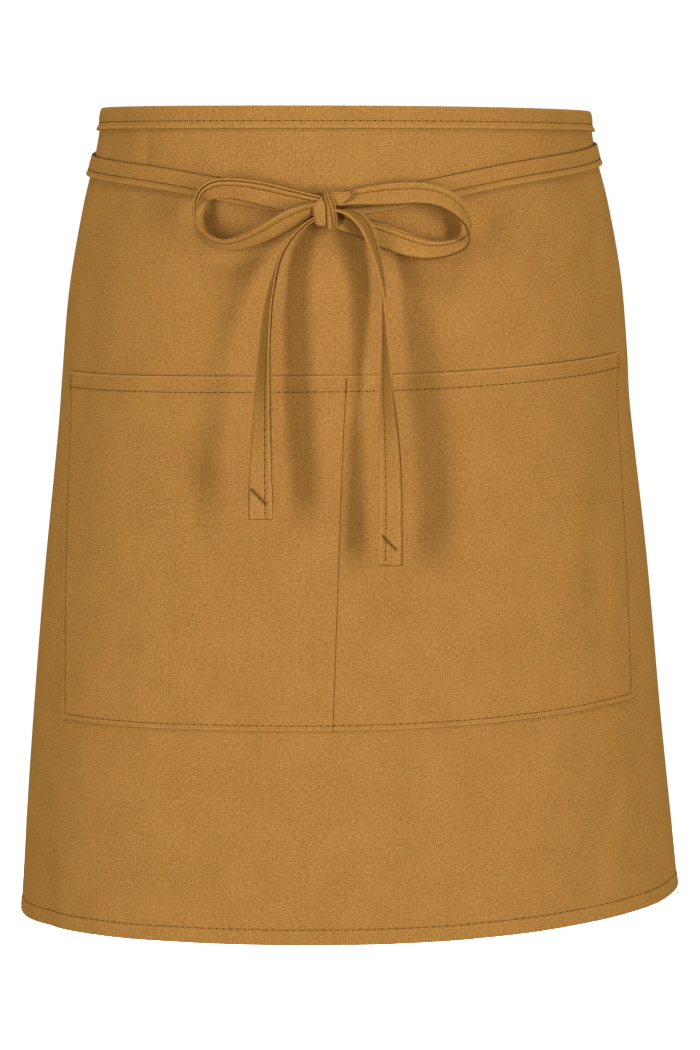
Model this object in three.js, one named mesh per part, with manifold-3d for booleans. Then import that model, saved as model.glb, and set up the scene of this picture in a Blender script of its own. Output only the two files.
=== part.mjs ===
// A half-length bistro apron in the form that it has when it is worn: a rectangular panel round the front
// of the hips, a bound waistband, a wide patch pocket, and two ties that cross behind and make a bow.
// Millimetres, +Z up. X runs to the viewer's right and the front faces -Y. The origin is the middle of
// the waist hollow, half way up the waistband.

import * as THREE from "three";
import { mergeVertices } from "three/addons/utils/BufferGeometryUtils.js";
import Module from "manifold-3d";

// Cloth sizes
const PANEL = { width: 800, length: 560, top: 2, cloth: 1.2, hemCloth: 2.4, sideHem: 11, bottomHem: 10.5 };
const BAND = { height: 14.8, cloth: 1.1, fold: 0.5 };
const POCKET = {
  top: 174.5, // drop of the mouth at its ends
  height: 238.5,
  mouthWidth: 456,
  footWidth: 442,
  footShift: 3, // the foot sits this far to the right of the mouth
  mouthSag: 3, // how much lower the mouth hangs in the middle
  footSag: 1.4,
  mouthGap: 1.2, // how far the mouth stands off the panel in the middle of each compartment
  mouthHem: 10.5,
  seamTop: 1.5, // the dividing seam slants from here
  seamFoot: -8.5,
};
const TIE = { width: 16, thickness: 2.2, startGap: 3.2 };
const CLEARANCE = 0.35;
const TOP = BAND.height / 2; // height of the waistband's top edge over the origin
const PANEL_EDGE = PANEL.width / 2;
const HEM_FOLD = PANEL_EDGE - PANEL.sideHem; // where a side hem's inner fold lies
const HEM_STEP = PANEL.hemCloth - PANEL.cloth; // a hem ends in a small slanting step

// How finely the curved walls are divided
const PANEL_STEPS = { across: 52, down: 21 };
const POCKET_STEPS = { across: 26, down: 9 };
const TIE_STEPS = 54;
const BOW_STEPS = 3; // stations for each row of a bow table
const ARC_STEPS = 180;

// Level sections of the worn form, an oval at each drop below the waistband's top edge. The front and back
// depths are taken from the middle, lean shifts the section sideways, and lift raises its right side.
const FORM = [
  { drop: 0, halfWidth: 170.6, front: 151, back: 116, lean: 0, lift: -1.2 },
  { drop: 28, halfWidth: 175, front: 152.5, back: 118.5, lean: -0.3, lift: 0.2 },
  { drop: 65, halfWidth: 184.3, front: 155, back: 123, lean: -0.4, lift: 2 },
  { drop: 120, halfWidth: 194.4, front: 156.5, back: 134, lean: -0.7, lift: 5 },
  { drop: 175, halfWidth: 199.5, front: 156.5, back: 142, lean: -0.8, lift: 7.2 },
  { drop: 215, halfWidth: 202.3, front: 156, back: 146, lean: -1.3, lift: 7.8 },
  { drop: 330, halfWidth: 215.2, front: 154.5, back: 153, lean: -0.6, lift: 8.4 },
  { drop: 450, halfWidth: 226.7, front: 154.5, back: 158, lean: 0.4, lift: 8.6 },
  { drop: 560, halfWidth: 236.6, front: 156, back: 162, lean: 2.4, lift: 8.6 },
];
const LIFT_EVEN = 0.35; // share of the lift that grows evenly across; the rest grows towards the sides

// Soft folds that run down the cloth, each a smooth ridge or valley: the arc from the front centre line,
// the drops where it fades in and out, its half width, its height, and its slant in millimetres of arc for
// each millimetre of drop.
const FOLDS = [
  { arc: 187, from: 240, to: 405, reach: 13, height: -1.8, slant: 0 },
  { arc: 210, from: 435, to: 570, reach: 12, height: -1.8, slant: -0.3 },
  { arc: -236, from: 495, to: 610, reach: 9, height: -1.6, slant: 0 },
  { arc: 362, from: 50, to: 760, reach: 17, height: 5, slant: 0.02 },
  { arc: -358, from: 60, to: 720, reach: 18, height: 4.5, slant: -0.03 },
  { arc: 328, from: 120, to: 800, reach: 16, height: -3.5, slant: 0.03 },
  { arc: -322, from: 140, to: 820, reach: 17, height: -3, slant: -0.03 },
];

// Routes of the two ties. Turn is in degrees from the front, counted round the back from the end of the
// waistband where the tie starts, so 360 is the front again. Out is the middle of the tape over the form.
const TIE_OVER = [
  { turn: 162, drop: 8.2, out: 3.4 },
  { turn: 180, drop: 15.8, out: 3.6 },
  { turn: 198, drop: 23, out: 3.2 },
  { turn: 212, drop: 26.4, out: 2.2 },
  { turn: 235, drop: 30.5, out: 1.8 },
  { turn: 270, drop: 36.6, out: 1.8 },
  { turn: 312, drop: 45.4, out: 1.8 },
  { turn: 333, drop: 54, out: 1.8 },
  { turn: 347, drop: 61.8, out: 1.8 },
  { turn: 356, drop: 65.5, out: 2.2 },
];
const TIE_UNDER = [
  { turn: 162, drop: 8.2, out: 0.3 },
  { turn: 180, drop: 15.8, out: 0.6 },
  { turn: 198, drop: 24, out: 0.5 },
  { turn: 212, drop: 27, out: 1.7 },
  { turn: 235, drop: 28.8, out: 1.8 },
  { turn: 270, drop: 30.3, out: 1.8 },
  { turn: 300, drop: 37.8, out: 1.8 },
  { turn: 322, drop: 45, out: 1.8 },
  { turn: 340, drop: 54.5, out: 1.8 },
  { turn: 353, drop: 61.8, out: 2.2 },
  { turn: 363, drop: 65.5, out: 3 },
];

// Strips of the bow. X and drop place the middle of the tape as seen from the front, and out is its
// distance in front of the cloth. EdgeX and edgeZ are the shares of the tape's width that point to the
// right and up, from its far edge to its near edge; the rest points to the front. Gather narrows the tape.
const LOOP_LEFT = [
  { x: -15, drop: 64.8, out: 9.4, edgeX: 0, edgeZ: 0.75, gather: 0.75 },
  { x: -22, drop: 63.8, out: 9.2, edgeX: 0, edgeZ: 0.8, gather: 0.9 },
  { x: -37, drop: 61.6, out: 8, edgeX: 0, edgeZ: 0.93, gather: 1 },
  { x: -56, drop: 57.8, out: 8.5, edgeX: 0, edgeZ: 0.95, gather: 1 },
  { x: -73, drop: 55, out: 11, edgeX: 0, edgeZ: 0.92, gather: 1 },
  { x: -86, drop: 54.6, out: 14.5, edgeX: -0.08, edgeZ: 0.76, gather: 1 },
  { x: -95, drop: 59.4, out: 17, edgeX: -0.1, edgeZ: 0.5, gather: 1 },
  { x: -99.5, drop: 69, out: 18.5, edgeX: 0, edgeZ: 0.15, gather: 1 },
  { x: -97.5, drop: 79.5, out: 18.5, edgeX: 0.12, edgeZ: 0.28, gather: 1 },
  { x: -90.5, drop: 86.6, out: 18, edgeX: 0.1, edgeZ: 0.38, gather: 1 },
  { x: -80, drop: 90, out: 17.5, edgeX: 0, edgeZ: 0.41, gather: 1 },
  { x: -68, drop: 88.4, out: 17, edgeX: -0.15, edgeZ: 0.5, gather: 1 },
  { x: -53, drop: 82.4, out: 16.5, edgeX: -0.3, edgeZ: 0.62, gather: 1 },
  { x: -37, drop: 74.2, out: 15.8, edgeX: -0.36, edgeZ: 0.72, gather: 1 },
  { x: -23, drop: 67.9, out: 14, edgeX: -0.2, edgeZ: 0.65, gather: 0.74 },
  { x: -15, drop: 67, out: 12.4, edgeX: 0, edgeZ: 0.6, gather: 0.6 },
];
const LOOP_RIGHT = [
  { x: -12, drop: 63.5, out: 9.5, edgeX: 0, edgeZ: -0.6, gather: 0.5 },
  { x: -2, drop: 62, out: 9.6, edgeX: 0, edgeZ: -0.7, gather: 0.6 },
  { x: 6, drop: 60.4, out: 9.8, edgeX: 0, edgeZ: -0.7, gather: 0.85 },
  { x: 17, drop: 59.2, out: 10, edgeX: 0, edgeZ: -0.76, gather: 1 },
  { x: 32, drop: 58, out: 11.5, edgeX: 0, edgeZ: -0.87, gather: 1 },
  { x: 47, drop: 57.6, out: 14, edgeX: 0, edgeZ: -0.85, gather: 1 },
  { x: 59.5, drop: 59.4, out: 16, edgeX: -0.1, edgeZ: -0.8, gather: 1 },
  { x: 69.5, drop: 64.2, out: 18, edgeX: -0.25, edgeZ: -0.68, gather: 1 },
  { x: 76.5, drop: 71, out: 19, edgeX: -0.29, edgeZ: -0.48, gather: 1 },
  { x: 80, drop: 77.4, out: 19, edgeX: -0.22, edgeZ: -0.28, gather: 1 },
  { x: 80.6, drop: 84.4, out: 18.5, edgeX: -0.08, edgeZ: -0.2, gather: 1 },
  { x: 78, drop: 89.2, out: 18, edgeX: 0, edgeZ: -0.4, gather: 1 },
  { x: 72, drop: 92.4, out: 17, edgeX: 0.05, edgeZ: -0.53, gather: 1 },
  { x: 62, drop: 94.6, out: 15, edgeX: 0, edgeZ: -0.64, gather: 1 },
  { x: 50, drop: 94, out: 12.5, edgeX: -0.15, edgeZ: -0.8, gather: 1 },
  { x: 37.5, drop: 90.2, out: 10, edgeX: -0.22, edgeZ: -0.92, gather: 1 },
  { x: 24.5, drop: 85.4, out: 8.5, edgeX: -0.28, edgeZ: -0.9, gather: 1 },
  { x: 12, drop: 80.8, out: 8, edgeX: -0.2, edgeZ: -0.72, gather: 0.95 },
  { x: 0, drop: 77, out: 9.8, edgeX: -0.1, edgeZ: -0.65, gather: 0.8 },
  { x: -12, drop: 74.5, out: 9.8, edgeX: 0, edgeZ: -0.6, gather: 0.6 },
];
const TAIL_LEFT = [
  { x: -13, drop: 72.2, out: 8.8, edgeX: 0, edgeZ: 0, gather: 0.6 },
  { x: -21.5, drop: 74.4, out: 10.4, edgeX: 0, edgeZ: 0, gather: 0.8 },
  { x: -30.7, drop: 81.8, out: 13, edgeX: 0, edgeZ: 0, gather: 1 },
  { x: -37.7, drop: 90, out: 16, edgeX: 0.05, edgeZ: 0, gather: 1 },
  { x: -43, drop: 99.8, out: 19.5, edgeX: 0.1, edgeZ: 0, gather: 1 },
  { x: -47.3, drop: 115.2, out: 23.5, edgeX: 0.22, edgeZ: 0, gather: 1 },
  { x: -50.3, drop: 130.5, out: 26.5, edgeX: 0.34, edgeZ: 0, gather: 1 },
  { x: -52.8, drop: 158.2, out: 31, edgeX: 0.5, edgeZ: 0, gather: 1 },
  { x: -54.5, drop: 199.5, out: 37.5, edgeX: 0.72, edgeZ: 0, gather: 1 },
  { x: -55.4, drop: 239, out: 42, edgeX: 0.95, edgeZ: 0, gather: 0.97 },
  { x: -55.4, drop: 268.5, out: 41.5, edgeX: 0.995, edgeZ: 0, gather: 0.94 },
];
const TAIL_RIGHT = [
  { x: -12, drop: 68.6, out: 9.5, edgeX: 0, edgeZ: 0, gather: 0.6 },
  { x: -4, drop: 68.4, out: 13, edgeX: 0, edgeZ: 0, gather: 0.7 },
  { x: 2.8, drop: 69.6, out: 16.5, edgeX: -0.15, edgeZ: -0.25, gather: 0.85 },
  { x: 9.8, drop: 74.6, out: 19.2, edgeX: -0.28, edgeZ: -0.3, gather: 1 },
  { x: 15, drop: 83.6, out: 20.6, edgeX: -0.36, edgeZ: -0.17, gather: 1 },
  { x: 20.3, drop: 99.6, out: 21.5, edgeX: -0.26, edgeZ: -0.05, gather: 1 },
  { x: 23.9, drop: 117, out: 22.5, edgeX: -0.12, edgeZ: 0, gather: 1 },
  { x: 25.2, drop: 130.8, out: 23.5, edgeX: 0.04, edgeZ: 0, gather: 1 },
  { x: 26.4, drop: 158.5, out: 27, edgeX: 0.26, edgeZ: 0, gather: 1 },
  { x: 27.3, drop: 192, out: 31, edgeX: 0.55, edgeZ: 0, gather: 1 },
  { x: 28.8, drop: 221.7, out: 34, edgeX: 0.82, edgeZ: 0, gather: 1 },
  { x: 29.6, drop: 256.3, out: 35, edgeX: 0.95, edgeZ: 0, gather: 0.98 },
  { x: 29.3, drop: 299, out: 35, edgeX: 0.99, edgeZ: 0, gather: 0.95 },
];

// The knot, as level sections of the wrapped tape: its sides, and its back and front faces over the cloth.
const KNOT = [
  { drop: 55.6, left: -14, right: -8.2, back: 6.5, face: 11 },
  { drop: 58.5, left: -15.4, right: -7.6, back: 3.8, face: 15 },
  { drop: 61.5, left: -18.1, right: -7, back: 2.8, face: 16.8 },
  { drop: 65, left: -21.6, right: -6.5, back: 2.4, face: 17.8 },
  { drop: 71, left: -21, right: -5.6, back: 2.2, face: 18.2 },
  { drop: 76, left: -20.6, right: -5.5, back: 2.4, face: 17.8 },
  { drop: 79.6, left: -20.2, right: -5.5, back: 3.4, face: 16.4 },
  { drop: 81.2, left: -19.6, right: -6, back: 5, face: 13.5 },
];
const KNOT_SIDES = 14;
const KNOT_SQUARENESS = 0.7; // 1 would be an oval section, 0 a rectangle

const COLOUR = {
  cloth: 0xb5813f,
  band: 0xb07c3a,
  pocket: 0xb88442,
  tape: 0xb37e3c,
  knot: 0xae7937,
};

// The row of a table at one value of a column, on a smooth curve through the table's rows.
function rowAt(rows, column, value) {
  const last = rows.length - 1;
  const above = rows.findIndex((row) => row[column] > value);
  const i = above < 0 ? last - 1 : Math.max(above - 1, 0);
  const [a, b] = [rows[i], rows[i + 1]];
  const before = rows[Math.max(i - 1, 0)];
  const after = rows[Math.min(i + 2, last)];
  const span = b[column] - a[column];
  const t = THREE.MathUtils.clamp((value - a[column]) / span, 0, 1);
  const blend = {};
  for (const name of Object.keys(a)) {
    const slopeA = ((b[name] - before[name]) / (b[column] - before[column])) * span;
    const slopeB = ((after[name] - a[name]) / (after[column] - a[column])) * span;
    const ease = t * t * (3 - 2 * t);
    const bendA = t * (1 - t) * (1 - t) * slopeA;
    const bendB = t * t * (1 - t) * slopeB;
    blend[name] = a[name] * (1 - ease) + b[name] * ease + bendA - bendB;
  }
  return blend;
}

// A point on the worn form, at an angle from the front, or a distance outside it.
function formPoint(angle, drop, out) {
  const { halfWidth, front, back, lean, lift } = rowAt(FORM, "drop", drop);
  const across = Math.sin(angle);
  const ahead = Math.cos(angle);
  const depth = ahead > 0 ? front : back;
  const normal = new THREE.Vector3(across / halfWidth, -ahead / depth, 0).normalize();
  const raise = lift * across * (LIFT_EVEN + (1 - LIFT_EVEN) * Math.abs(across));
  const point = new THREE.Vector3(lean + halfWidth * across, -depth * ahead, TOP - drop + raise);
  return point.addScaledVector(normal, out);
}

// The angle at which the arc from the front centre line has a given length.
const arcTables = new Map();
function angleOfArc(arc, drop) {
  const key = drop.toFixed(2);
  if (!arcTables.has(key)) {
    const { halfWidth, front, back } = rowAt(FORM, "drop", drop);
    const lengths = [0];
    for (let i = 0; i < ARC_STEPS; i++) {
      const angle = ((i + 0.5) / ARC_STEPS) * Math.PI;
      const depth = angle < Math.PI / 2 ? front : back;
      const speed = Math.hypot(halfWidth * Math.cos(angle), depth * Math.sin(angle));
      lengths.push(lengths[i] + (speed * Math.PI) / ARC_STEPS);
    }
    arcTables.set(key, lengths);
  }
  const lengths = arcTables.get(key);
  const far = Math.abs(arc);
  const next = lengths.findIndex((length) => length > far);
  const share = (far - lengths[next - 1]) / (lengths[next] - lengths[next - 1]);
  return (Math.sign(arc) * (next - 1 + share) * Math.PI) / ARC_STEPS;
}

// How far the folds move the cloth outwards.
function foldHeight(arc, drop) {
  let height = 0;
  for (const fold of FOLDS) {
    const along = THREE.MathUtils.clamp((drop - fold.from) / (fold.to - fold.from), 0, 1);
    const middle = fold.arc + fold.slant * (drop - fold.from);
    const away = (arc - middle) / fold.reach;
    height += fold.height * Math.sin(along * Math.PI) ** 2 * Math.exp(-away * away);
  }
  return height;
}

// A point of the cloth, by the arc from its centre line and the drop from its top.
function clothPoint(arc, drop, out) {
  return formPoint(angleOfArc(arc, drop), drop, out + foldHeight(arc, drop));
}

// A point of the bow, straight in front of the cloth.
function bowPoint(x, drop, out) {
  const { halfWidth, lean } = rowAt(FORM, "drop", drop);
  const point = formPoint(Math.asin((x - lean) / halfWidth), drop, 0);
  point.y -= out;
  return point;
}

// Evenly spaced values from one end to the other.
function spread(from, to, steps) {
  return Array.from({ length: steps + 1 }, (_, i) => from + ((to - from) * i) / steps);
}

// A closed body from points and triangles, with its faces turned outwards.
function closedBody(points, triangles) {
  const geometry = new THREE.BufferGeometry().setFromPoints(points);
  let volume = 0;
  for (let i = 0; i < triangles.length; i += 3) {
    const [a, b, c] = [0, 1, 2].map((corner) => points[triangles[i + corner]]);
    volume += a.dot(new THREE.Vector3().crossVectors(b, c));
  }
  const outward = volume > 0 ? triangles : [...triangles].reverse();
  geometry.setIndex(outward);
  return geometry;
}

// A closed wall between an outer and an inner face, given over the same stations.
function wall(across, down, outer, inner) {
  const points = [];
  for (const face of [outer, inner]) {
    for (const v of down) points.push(...across.map((u) => face(u, v)));
  }
  const triangles = [];
  const at = (face, row, column) => (face * down.length + row) * across.length + column;
  const quad = (a, b, c, d) => triangles.push(a, b, c, a, c, d);
  const [foot, side] = [down.length - 1, across.length - 1];
  for (let r = 0; r < foot; r++) {
    for (let c = 0; c < side; c++) {
      quad(at(0, r, c), at(0, r + 1, c), at(0, r + 1, c + 1), at(0, r, c + 1));
      quad(at(1, r, c), at(1, r, c + 1), at(1, r + 1, c + 1), at(1, r + 1, c));
    }
    quad(at(1, r, 0), at(1, r + 1, 0), at(0, r + 1, 0), at(0, r, 0));
    quad(at(0, r, side), at(0, r + 1, side), at(1, r + 1, side), at(1, r, side));
  }
  for (let c = 0; c < side; c++) {
    quad(at(0, 0, c), at(0, 0, c + 1), at(1, 0, c + 1), at(1, 0, c));
    quad(at(0, foot, c + 1), at(0, foot, c), at(1, foot, c), at(1, foot, c + 1));
  }
  return closedBody(points, triangles);
}

// A closed body swept along stations: place puts a point of the flat outline at a station.
function loft(outline, stations, place) {
  const points = stations.flatMap((station) => outline.map((corner) => place(corner, station)));
  const count = outline.length;
  const last = (stations.length - 1) * count;
  const triangles = [];
  for (let s = 0; s < stations.length - 1; s++) {
    for (let i = 0; i < count; i++) {
      const [a, b] = [s * count + i, s * count + ((i + 1) % count)];
      triangles.push(a, b, b + count, a, b + count, a + count);
    }
  }
  const area = THREE.ShapeUtils.area(outline);
  for (const [a, b, c] of THREE.ShapeUtils.triangulateShape(outline, [])) {
    const turned = area > 0 ? [a, c, b] : [a, b, c];
    triangles.push(...turned, ...turned.toReversed().map((corner) => corner + last));
  }
  return closedBody(points, triangles);
}

// A flat tape along a smooth curve through its stations. Each station has the tape's middle and the
// direction of its width, which is squared to the curve.
function tape(stations, steps) {
  const middle = new THREE.CatmullRomCurve3(stations.map((station) => station.middle));
  const width = new THREE.CatmullRomCurve3(stations.map((station) => station.width));
  const half = { wide: TIE.width / 2, thick: TIE.thickness / 2 };
  const corners = [[1, 1], [-1, 1], [-1, -1], [1, -1]];
  const outline = corners.map(([u, v]) => new THREE.Vector2(u * half.wide, v * half.thick));
  return loft(outline, spread(0, 1, steps), (corner, t) => {
    const along = middle.getTangent(t);
    const wide = width.getPoint(t);
    const share = wide.length();
    wide.addScaledVector(along, -wide.dot(along)).normalize();
    const thick = new THREE.Vector3().crossVectors(along, wide);
    return middle.getPoint(t).addScaledVector(wide, corner.x * share).addScaledVector(thick, corner.y);
  });
}

// Stations across the panel, which the waistband shares
const HEM_INSIDE = HEM_FOLD - HEM_STEP;
const PANEL_ARCS = [-PANEL_EDGE, -HEM_FOLD, ...spread(-HEM_INSIDE, HEM_INSIDE, PANEL_STEPS.across),
  HEM_FOLD, PANEL_EDGE];

// Panel: the outer face lies on the form, and the hems are turned to the inside.
function makePanel() {
  const hemLine = PANEL.length - PANEL.bottomHem;
  const middle = spread(BAND.height, hemLine - HEM_STEP, PANEL_STEPS.down);
  const down = [PANEL.top, ...middle, hemLine, PANEL.length];
  const inside = (arc, drop) => {
    const hemmed = Math.abs(arc) >= HEM_FOLD || drop >= hemLine;
    return hemmed ? PANEL.hemCloth : PANEL.cloth;
  };
  return wall(PANEL_ARCS, down, (arc, drop) => clothPoint(arc, drop, 0),
    (arc, drop) => clothPoint(arc, drop, -inside(arc, drop)));
}

// Waistband: tape folded over the panel's top edge, in section an upside-down U.
function makeWaistband() {
  const outer = CLEARANCE + BAND.cloth;
  const inner = PANEL.hemCloth + outer;
  const roof = PANEL.top - CLEARANCE;
  const profile = [
    [outer, BAND.height], [outer, BAND.fold], [outer - BAND.fold, 0],
    [-inner + BAND.fold, 0], [-inner, BAND.fold], [-inner, BAND.height],
    [-inner + BAND.cloth, BAND.height], [-inner + BAND.cloth, roof],
    [CLEARANCE, roof], [CLEARANCE, BAND.height],
  ];
  const outline = profile.map(([out, drop]) => new THREE.Vector2(out, drop));
  return loft(outline, PANEL_ARCS, (corner, arc) => clothPoint(arc, corner.y, corner.x));
}

// Pocket: a patch that lies on the panel along its sides, its foot and its dividing seam.
function makePocket() {
  const drops = (u, v) => {
    const sag = THREE.MathUtils.lerp(POCKET.mouthSag, POCKET.footSag, v) * (1 - u * u);
    return POCKET.top + sag + POCKET.height * v;
  };
  const arcs = (u, v) => {
    const half = THREE.MathUtils.lerp(POCKET.mouthWidth, POCKET.footWidth, v) / 2;
    const seam = THREE.MathUtils.lerp(POCKET.seamTop, POCKET.seamFoot, v);
    const side = u < 0 ? -half : half;
    return seam + Math.abs(u) * (side + POCKET.footShift * v - seam);
  };
  const gap = (u, v) => CLEARANCE + POCKET.mouthGap * Math.sin(Math.PI * Math.abs(u)) * (1 - v) ** 2;
  const hem = POCKET.mouthHem / POCKET.height;
  const turn = HEM_STEP / POCKET.height;
  const layers = (v) => (v <= hem ? PANEL.hemCloth : PANEL.cloth);
  const face = (u, v, out) => clothPoint(arcs(u, v), drops(u, v), gap(u, v) + out);
  const down = [0, hem, ...spread(hem + turn, 1, POCKET_STEPS.down)];
  return wall(spread(-1, 1, POCKET_STEPS.across), down,
    (u, v) => face(u, v, PANEL.hemCloth), (u, v) => face(u, v, PANEL.hemCloth - layers(v)));
}

// Tie: it runs on from one end of the waistband, round the back and the far side, to the knot. Side is
// 1 where it starts at the right end of the waistband and -1 at the left end.
function makeTie(route, side) {
  const start = angleOfArc(PANEL_EDGE + TIE.startGap, TOP);
  const middleOut = CLEARANCE + BAND.cloth - (PANEL.hemCloth + 2 * (CLEARANCE + BAND.cloth)) / 2;
  const rows = [{ turn: THREE.MathUtils.radToDeg(start), drop: TOP + 0.4, out: middleOut }, ...route];
  const turns = spread(rows[0].turn, rows.at(-1).turn, TIE_STEPS);
  const stations = turns.map((turn) => {
    const { drop, out } = rowAt(rows, "turn", turn);
    const angle = side * THREE.MathUtils.degToRad(turn);
    const width = formPoint(angle, drop - 0.5, out).sub(formPoint(angle, drop + 0.5, out));
    return { middle: formPoint(angle, drop, out), width: width.normalize() };
  });
  return tape(stations, TIE_STEPS);
}

// Loop or tail of the bow, from its table.
function makeBowStrip(rows) {
  const stations = rows.map(({ x, drop, out, edgeX, edgeZ, gather }) => {
    const ahead = Math.sqrt(1 - edgeX * edgeX - edgeZ * edgeZ);
    const width = new THREE.Vector3(edgeX, -ahead, edgeZ).multiplyScalar(gather);
    return { middle: bowPoint(x, drop, out), width };
  });
  return tape(stations, (rows.length - 1) * BOW_STEPS);
}

// Knot, or with a margin the space that the strips keep clear around it.
function makeKnot(margin) {
  const round = spread(0, 2 * Math.PI, KNOT_SIDES).slice(1);
  const soften = (value) => Math.sign(value) * Math.abs(value) ** KNOT_SQUARENESS;
  const outline = round.map((angle) => new THREE.Vector2(soften(Math.cos(angle)), soften(Math.sin(angle))));
  const middle = (KNOT[0].drop + KNOT.at(-1).drop) / 2;
  return loft(outline, KNOT, (corner, { drop, left, right, back, face }) => {
    const x = (left + right) / 2 + corner.x * ((right - left) / 2 + margin);
    const out = (back + face) / 2 + corner.y * ((face - back) / 2 + margin);
    return bowPoint(x, drop + margin * Math.sign(drop - middle), out);
  });
}

// Cutting one closed body with another
const wasm = await Module();
wasm.setup();

function toSolid(geometry) {
  const merged = mergeVertices(geometry);
  const mesh = new wasm.Mesh({
    numProp: 3,
    vertProperties: new Float32Array(merged.attributes.position.array),
    triVerts: new Uint32Array(merged.index.array),
  });
  return new wasm.Manifold(mesh);
}

function cutAway(geometry, tool) {
  const { vertProperties, triVerts } = toSolid(geometry).subtract(toSolid(tool)).getMesh();
  const cut = new THREE.BufferGeometry();
  cut.setAttribute("position", new THREE.BufferAttribute(vertProperties, 3));
  return cut.setIndex(new THREE.BufferAttribute(triVerts, 1));
}

// The apron
const apron = new THREE.Group();

function addPiece(name, geometry, color) {
  geometry.computeVertexNormals();
  const material = new THREE.MeshStandardMaterial({ color, roughness: 0.9, metalness: 0 });
  const mesh = new THREE.Mesh(geometry, material);
  mesh.name = name;
  apron.add(mesh);
}

addPiece("apron_panel", makePanel(), COLOUR.cloth);
addPiece("waistband", makeWaistband(), COLOUR.band);
addPiece("pocket", makePocket(), COLOUR.pocket);
addPiece("knot", makeKnot(0), COLOUR.knot);

const knotSpace = makeKnot(CLEARANCE);
const strips = {
  tie_left: makeTie(TIE_OVER, 1),
  tie_right: makeTie(TIE_UNDER, -1),
  bow_loop_left: makeBowStrip(LOOP_LEFT),
  bow_loop_right: makeBowStrip(LOOP_RIGHT),
  tail_left: makeBowStrip(TAIL_LEFT),
  tail_right: makeBowStrip(TAIL_RIGHT),
};
for (const [name, strip] of Object.entries(strips)) {
  addPiece(name, cutAway(strip, knotSpace), COLOUR.tape);
}

export default apron;
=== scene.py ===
import math
import bpy
import numpy as np
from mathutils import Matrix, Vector


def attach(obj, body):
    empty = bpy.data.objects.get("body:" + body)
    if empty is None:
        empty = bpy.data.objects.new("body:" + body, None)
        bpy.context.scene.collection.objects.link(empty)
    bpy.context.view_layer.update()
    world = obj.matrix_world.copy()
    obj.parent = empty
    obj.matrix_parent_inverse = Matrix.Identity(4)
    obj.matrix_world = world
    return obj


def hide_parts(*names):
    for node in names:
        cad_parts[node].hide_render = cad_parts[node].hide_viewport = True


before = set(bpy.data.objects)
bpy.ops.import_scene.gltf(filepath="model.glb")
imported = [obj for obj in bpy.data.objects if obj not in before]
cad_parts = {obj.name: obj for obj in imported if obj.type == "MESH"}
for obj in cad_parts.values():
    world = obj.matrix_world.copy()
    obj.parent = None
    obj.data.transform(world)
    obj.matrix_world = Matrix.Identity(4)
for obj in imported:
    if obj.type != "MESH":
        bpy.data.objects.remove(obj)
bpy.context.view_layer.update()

mm = 0.001


def table(names, rows):  # columns by name
    return dict(zip(names.split(), np.array(rows, float).T))


# Camera, at the height and tilt of the photograph
cameraSet = {
    "place": (0.00285, -2.24, -0.03455),
    "tiltDown": 6.41,
    "lens": 108.4,
    "sensor": 36,  # along the picture's long side
}


def makeCamera(s):
    data = bpy.data.cameras.new("photoCamera")
    data.lens = s["lens"]
    data.sensor_width = s["sensor"]
    camera = bpy.data.objects.new("photoCamera", data)
    camera.location = s["place"]
    camera.rotation_euler = (math.radians(90 - s["tiltDown"]), 0, 0)
    bpy.context.scene.collection.objects.link(camera)
    bpy.context.scene.camera = camera


# Studio: a soft box on each side, a weak one above, one for the back, an even fill, a pale floor
studio = {
    "aim": (0, -0.12, -0.24),
    "distance": 2.4,
    "boxes": {  # turn and rise in degrees, watts, size
        "softBoxLeft": (-37, 0, 32.8, (0.4, 1.7)),
        "softBoxRight": (35, 0, 36.6, (0.4, 1.7)),
        "softBoxAbove": (0, 52, 13, (1.4, 0.6)),
        "softBoxBack": (180, 8, 45, (0.5, 1.7)),
    },
    "fill": 0.1,
    "fillColour": (1, 0.9, 0.1),
    "floorDrop": 1.0,
    "floorSize": 40,
    "floorSides": 48,
    "floorColour": (0.9, 0.9, 0.9),
    "floorRoughness": 0.9,
    "floorGlow": 1.0,
}


def makeStudio(s):
    scene = bpy.context.scene
    scene.view_settings.view_transform = "Standard"
    world = bpy.data.worlds.new("studioFill")
    world.use_nodes = True
    world.node_tree.nodes["Background"].inputs["Color"].default_value = (*s["fillColour"], 1)
    world.node_tree.nodes["Background"].inputs["Strength"].default_value = s["fill"]
    scene.world = world
    aim = Vector(s["aim"])
    for name, (turn, rise, watts, size) in s["boxes"].items():
        light = bpy.data.lights.new(name, "AREA")
        light.shape = "RECTANGLE"
        light.size, light.size_y = size
        light.energy = watts
        box = bpy.data.objects.new(name, light)
        turn, rise = math.radians(turn), math.radians(rise)
        level, high = s["distance"] * math.cos(rise), s["distance"] * math.sin(rise)
        box.location = aim + Vector((level * math.sin(turn), -level * math.cos(turn), high))
        box.rotation_euler = (aim - box.location).to_track_quat("-Z", "Y").to_euler()
        scene.collection.objects.link(box)
    makeStage(s)


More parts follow.
